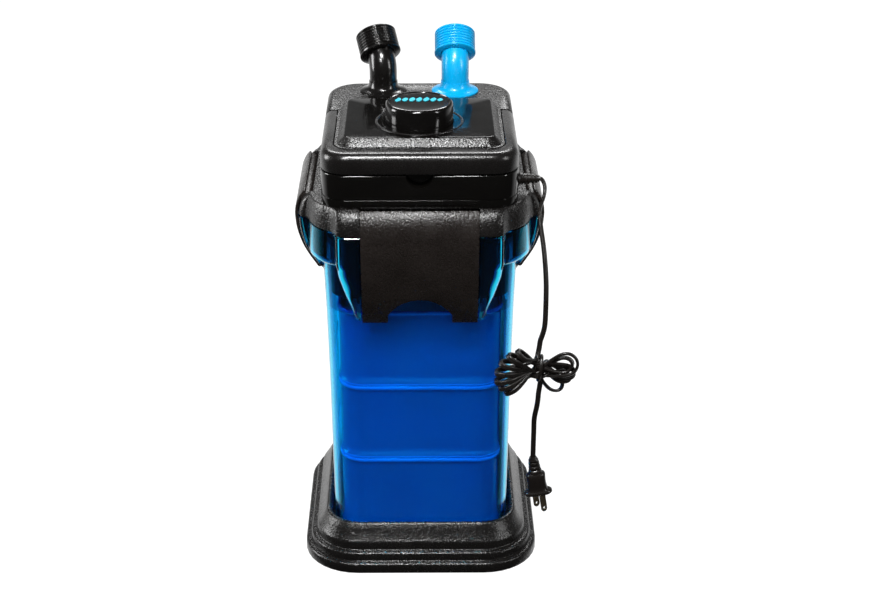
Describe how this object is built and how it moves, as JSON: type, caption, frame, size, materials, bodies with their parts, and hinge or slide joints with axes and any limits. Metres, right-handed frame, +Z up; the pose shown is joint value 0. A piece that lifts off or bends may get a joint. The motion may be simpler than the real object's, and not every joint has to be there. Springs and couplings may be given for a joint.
{
  "type": "canister filter",
  "caption": "Upright aquarium canister filter: stepped base, clear blue canister with stacked media baskets, latched pump head, swivel hose taps and mains cord.",
  "frame": {"origin": "centre of the base's underside, on the floor", "axes": "+Z up the canister, -Y towards the front latch, +X towards the blue tap and the cord"},
  "size_m": [0.2685, 0.2551, 0.5008],
  "materials": {
    "textured_black": "grained",
    "latch_black": "grained",
    "gloss_black": "gloss",
    "satin_black": "satin",
    "clear_blue": "clear tinted",
    "deep_blue": "gloss",
    "inner_black": "matt",
    "knob_black": "gloss",
    "badge": "gloss",
    "tap_black": "gloss",
    "tap_blue": "gloss",
    "steel": "brushed",
    "copper": "enamelled wire",
    "ceramic": "matt",
    "magnet": "matt",
    "white_plastic": "satin",
    "foam": "open cell",
    "carbon": "mesh",
    "floss": "felted",
    "cord_black": "satin",
    "brass": "polished"
  },
  "bodies": {
    "canister": {"base_stand": "textured_black", "canister_body": "clear_blue", "bypass_duct": "deep_blue"},
    "basket_low": {"lower_basket": "deep_blue", "coarse_foam": "foam"},
    "basket_mid": {"middle_basket": "deep_blue", "ceramic_rings": "ceramic"},
    "basket_top": {"upper_basket": "deep_blue", "carbon_pouch": "carbon", "polishing_pad": "floss"},
    "pump_head": {"lower_housing": "inner_black", "head_shell": "textured_black", "motor_housing": "gloss_black", "top_plate": "satin_black", "seal_gasket": "inner_black", "stator_core": "steel", "stator_coils": "copper", "impeller_shaft": "ceramic", "shaft_bushes": "inner_black", "impeller_cover": "inner_black", "cover_screws": "steel", "outlet_duct": "inner_black", "intake_duct": "inner_black", "latch_pins": "steel", "handle_pins": "steel", "primer_barrel": "inner_black", "primer_spring": "steel", "cord_gland": "cord_black", "cord_upper": "cord_black", "cord_hank": "cord_black", "cord_tie": "cord_black", "cord_lower": "cord_black", "plug_body": "cord_black", "plug_blades": "brass"},
    "handle": {"carry_handle": "satin_black"},
    "primer": {"primer_knob": "knob_black", "primer_badge": "badge", "primer_piston": "inner_black"},
    "tap_left": {"left_tap": "tap_black", "left_seal": "inner_black"},
    "tap_right": {"right_tap": "tap_blue", "right_seal": "inner_black"},
    "nut_left": {"left_nut": "tap_black"},
    "nut_right": {"right_nut": "tap_blue"},
    "impeller": {"rotor_magnet": "magnet", "impeller_vanes": "white_plastic"},
    "latch_front": {"front_latch": "latch_black"},
    "latch_rear": {"rear_latch": "latch_black"},
    "latch_left": {"left_latch": "latch_black"},
    "latch_right": {"right_latch": "latch_black"}
  },
  "joints": [
    {"name": "head_lift", "type": "slide", "parent": "canister", "child": "pump_head", "axis": [0, 0, 1], "range_m": [0, 0.6]},
    {"name": "basket_low_lift", "type": "slide", "parent": "canister", "child": "basket_low", "axis": [0, 0, 1], "range_m": [0, 0.33]},
    {"name": "basket_mid_lift", "type": "slide", "parent": "canister", "child": "basket_mid", "axis": [0, 0, 1], "range_m": [0, 0.42]},
    {"name": "basket_top_lift", "type": "slide", "parent": "canister", "child": "basket_top", "axis": [0, 0, 1], "range_m": [0, 0.51]},
    {"name": "handle_lift", "type": "hinge", "parent": "pump_head", "child": "handle", "pos_m": [0, 0.021, 0.43], "axis": [-1, 0, 0], "range_deg": [0, 95]},
    {"name": "primer_press", "type": "slide", "parent": "pump_head", "child": "primer", "axis": [0, 0, -1], "range_m": [0, 0.01], "stiffness_N_per_m": 1500, "springref_m": -0.004, "deforming": ["primer_spring"]},
    {"name": "left_tap_turn", "type": "hinge", "parent": "pump_head", "child": "tap_left", "pos_m": [-0.0355, 0.085, 0.435], "axis": [0, 0, 1], "continuous": true},
    {"name": "right_tap_turn", "type": "hinge", "parent": "pump_head", "child": "tap_right", "pos_m": [0.0355, 0.085, 0.435], "axis": [0, 0, 1], "continuous": true},
    {"name": "left_nut_turn", "type": "hinge", "parent": "tap_left", "child": "nut_left", "pos_m": [-0.04061, 0.10074, 0.47858], "axis": [-0.2223, 0.6841, 0.6947], "continuous": true},
    {"name": "right_nut_turn", "type": "hinge", "parent": "tap_right", "child": "nut_right", "pos_m": [0.0355, 0.10154, 0.47858], "axis": [0, 0.7193, 0.6947], "continuous": true},
    {"name": "impeller_spin", "type": "hinge", "parent": "pump_head", "child": "impeller", "pos_m": [0, 0, 0.31], "axis": [0, 0, 1], "continuous": true},
    {"name": "front_latch_swing", "type": "hinge", "parent": "pump_head", "child": "latch_front", "pos_m": [0, -0.105, 0.376], "axis": [-1, 0, 0], "range_deg": [0, 85]},
    {"name": "right_latch_swing", "type": "hinge", "parent": "pump_head", "child": "latch_right", "pos_m": [0.105, 0, 0.376], "axis": [0, -1, 0], "range_deg": [0, 85]},
    {"name": "rear_latch_swing", "type": "hinge", "parent": "pump_head", "child": "latch_rear", "pos_m": [0, 0.105, 0.376], "axis": [1, 0, 0], "range_deg": [0, 85]},
    {"name": "left_latch_swing", "type": "hinge", "parent": "pump_head", "child": "latch_left", "pos_m": [-0.105, 0, 0.376], "axis": [0, 1, 0], "range_deg": [0, 85]}
  ],
  "couplings": [
    {"joint": "basket_low_lift", "follows": "head_lift", "ratio": 0.55},
    {"joint": "basket_mid_lift", "follows": "head_lift", "ratio": 0.7},
    {"joint": "basket_top_lift", "follows": "head_lift", "ratio": 0.85}
  ]
}
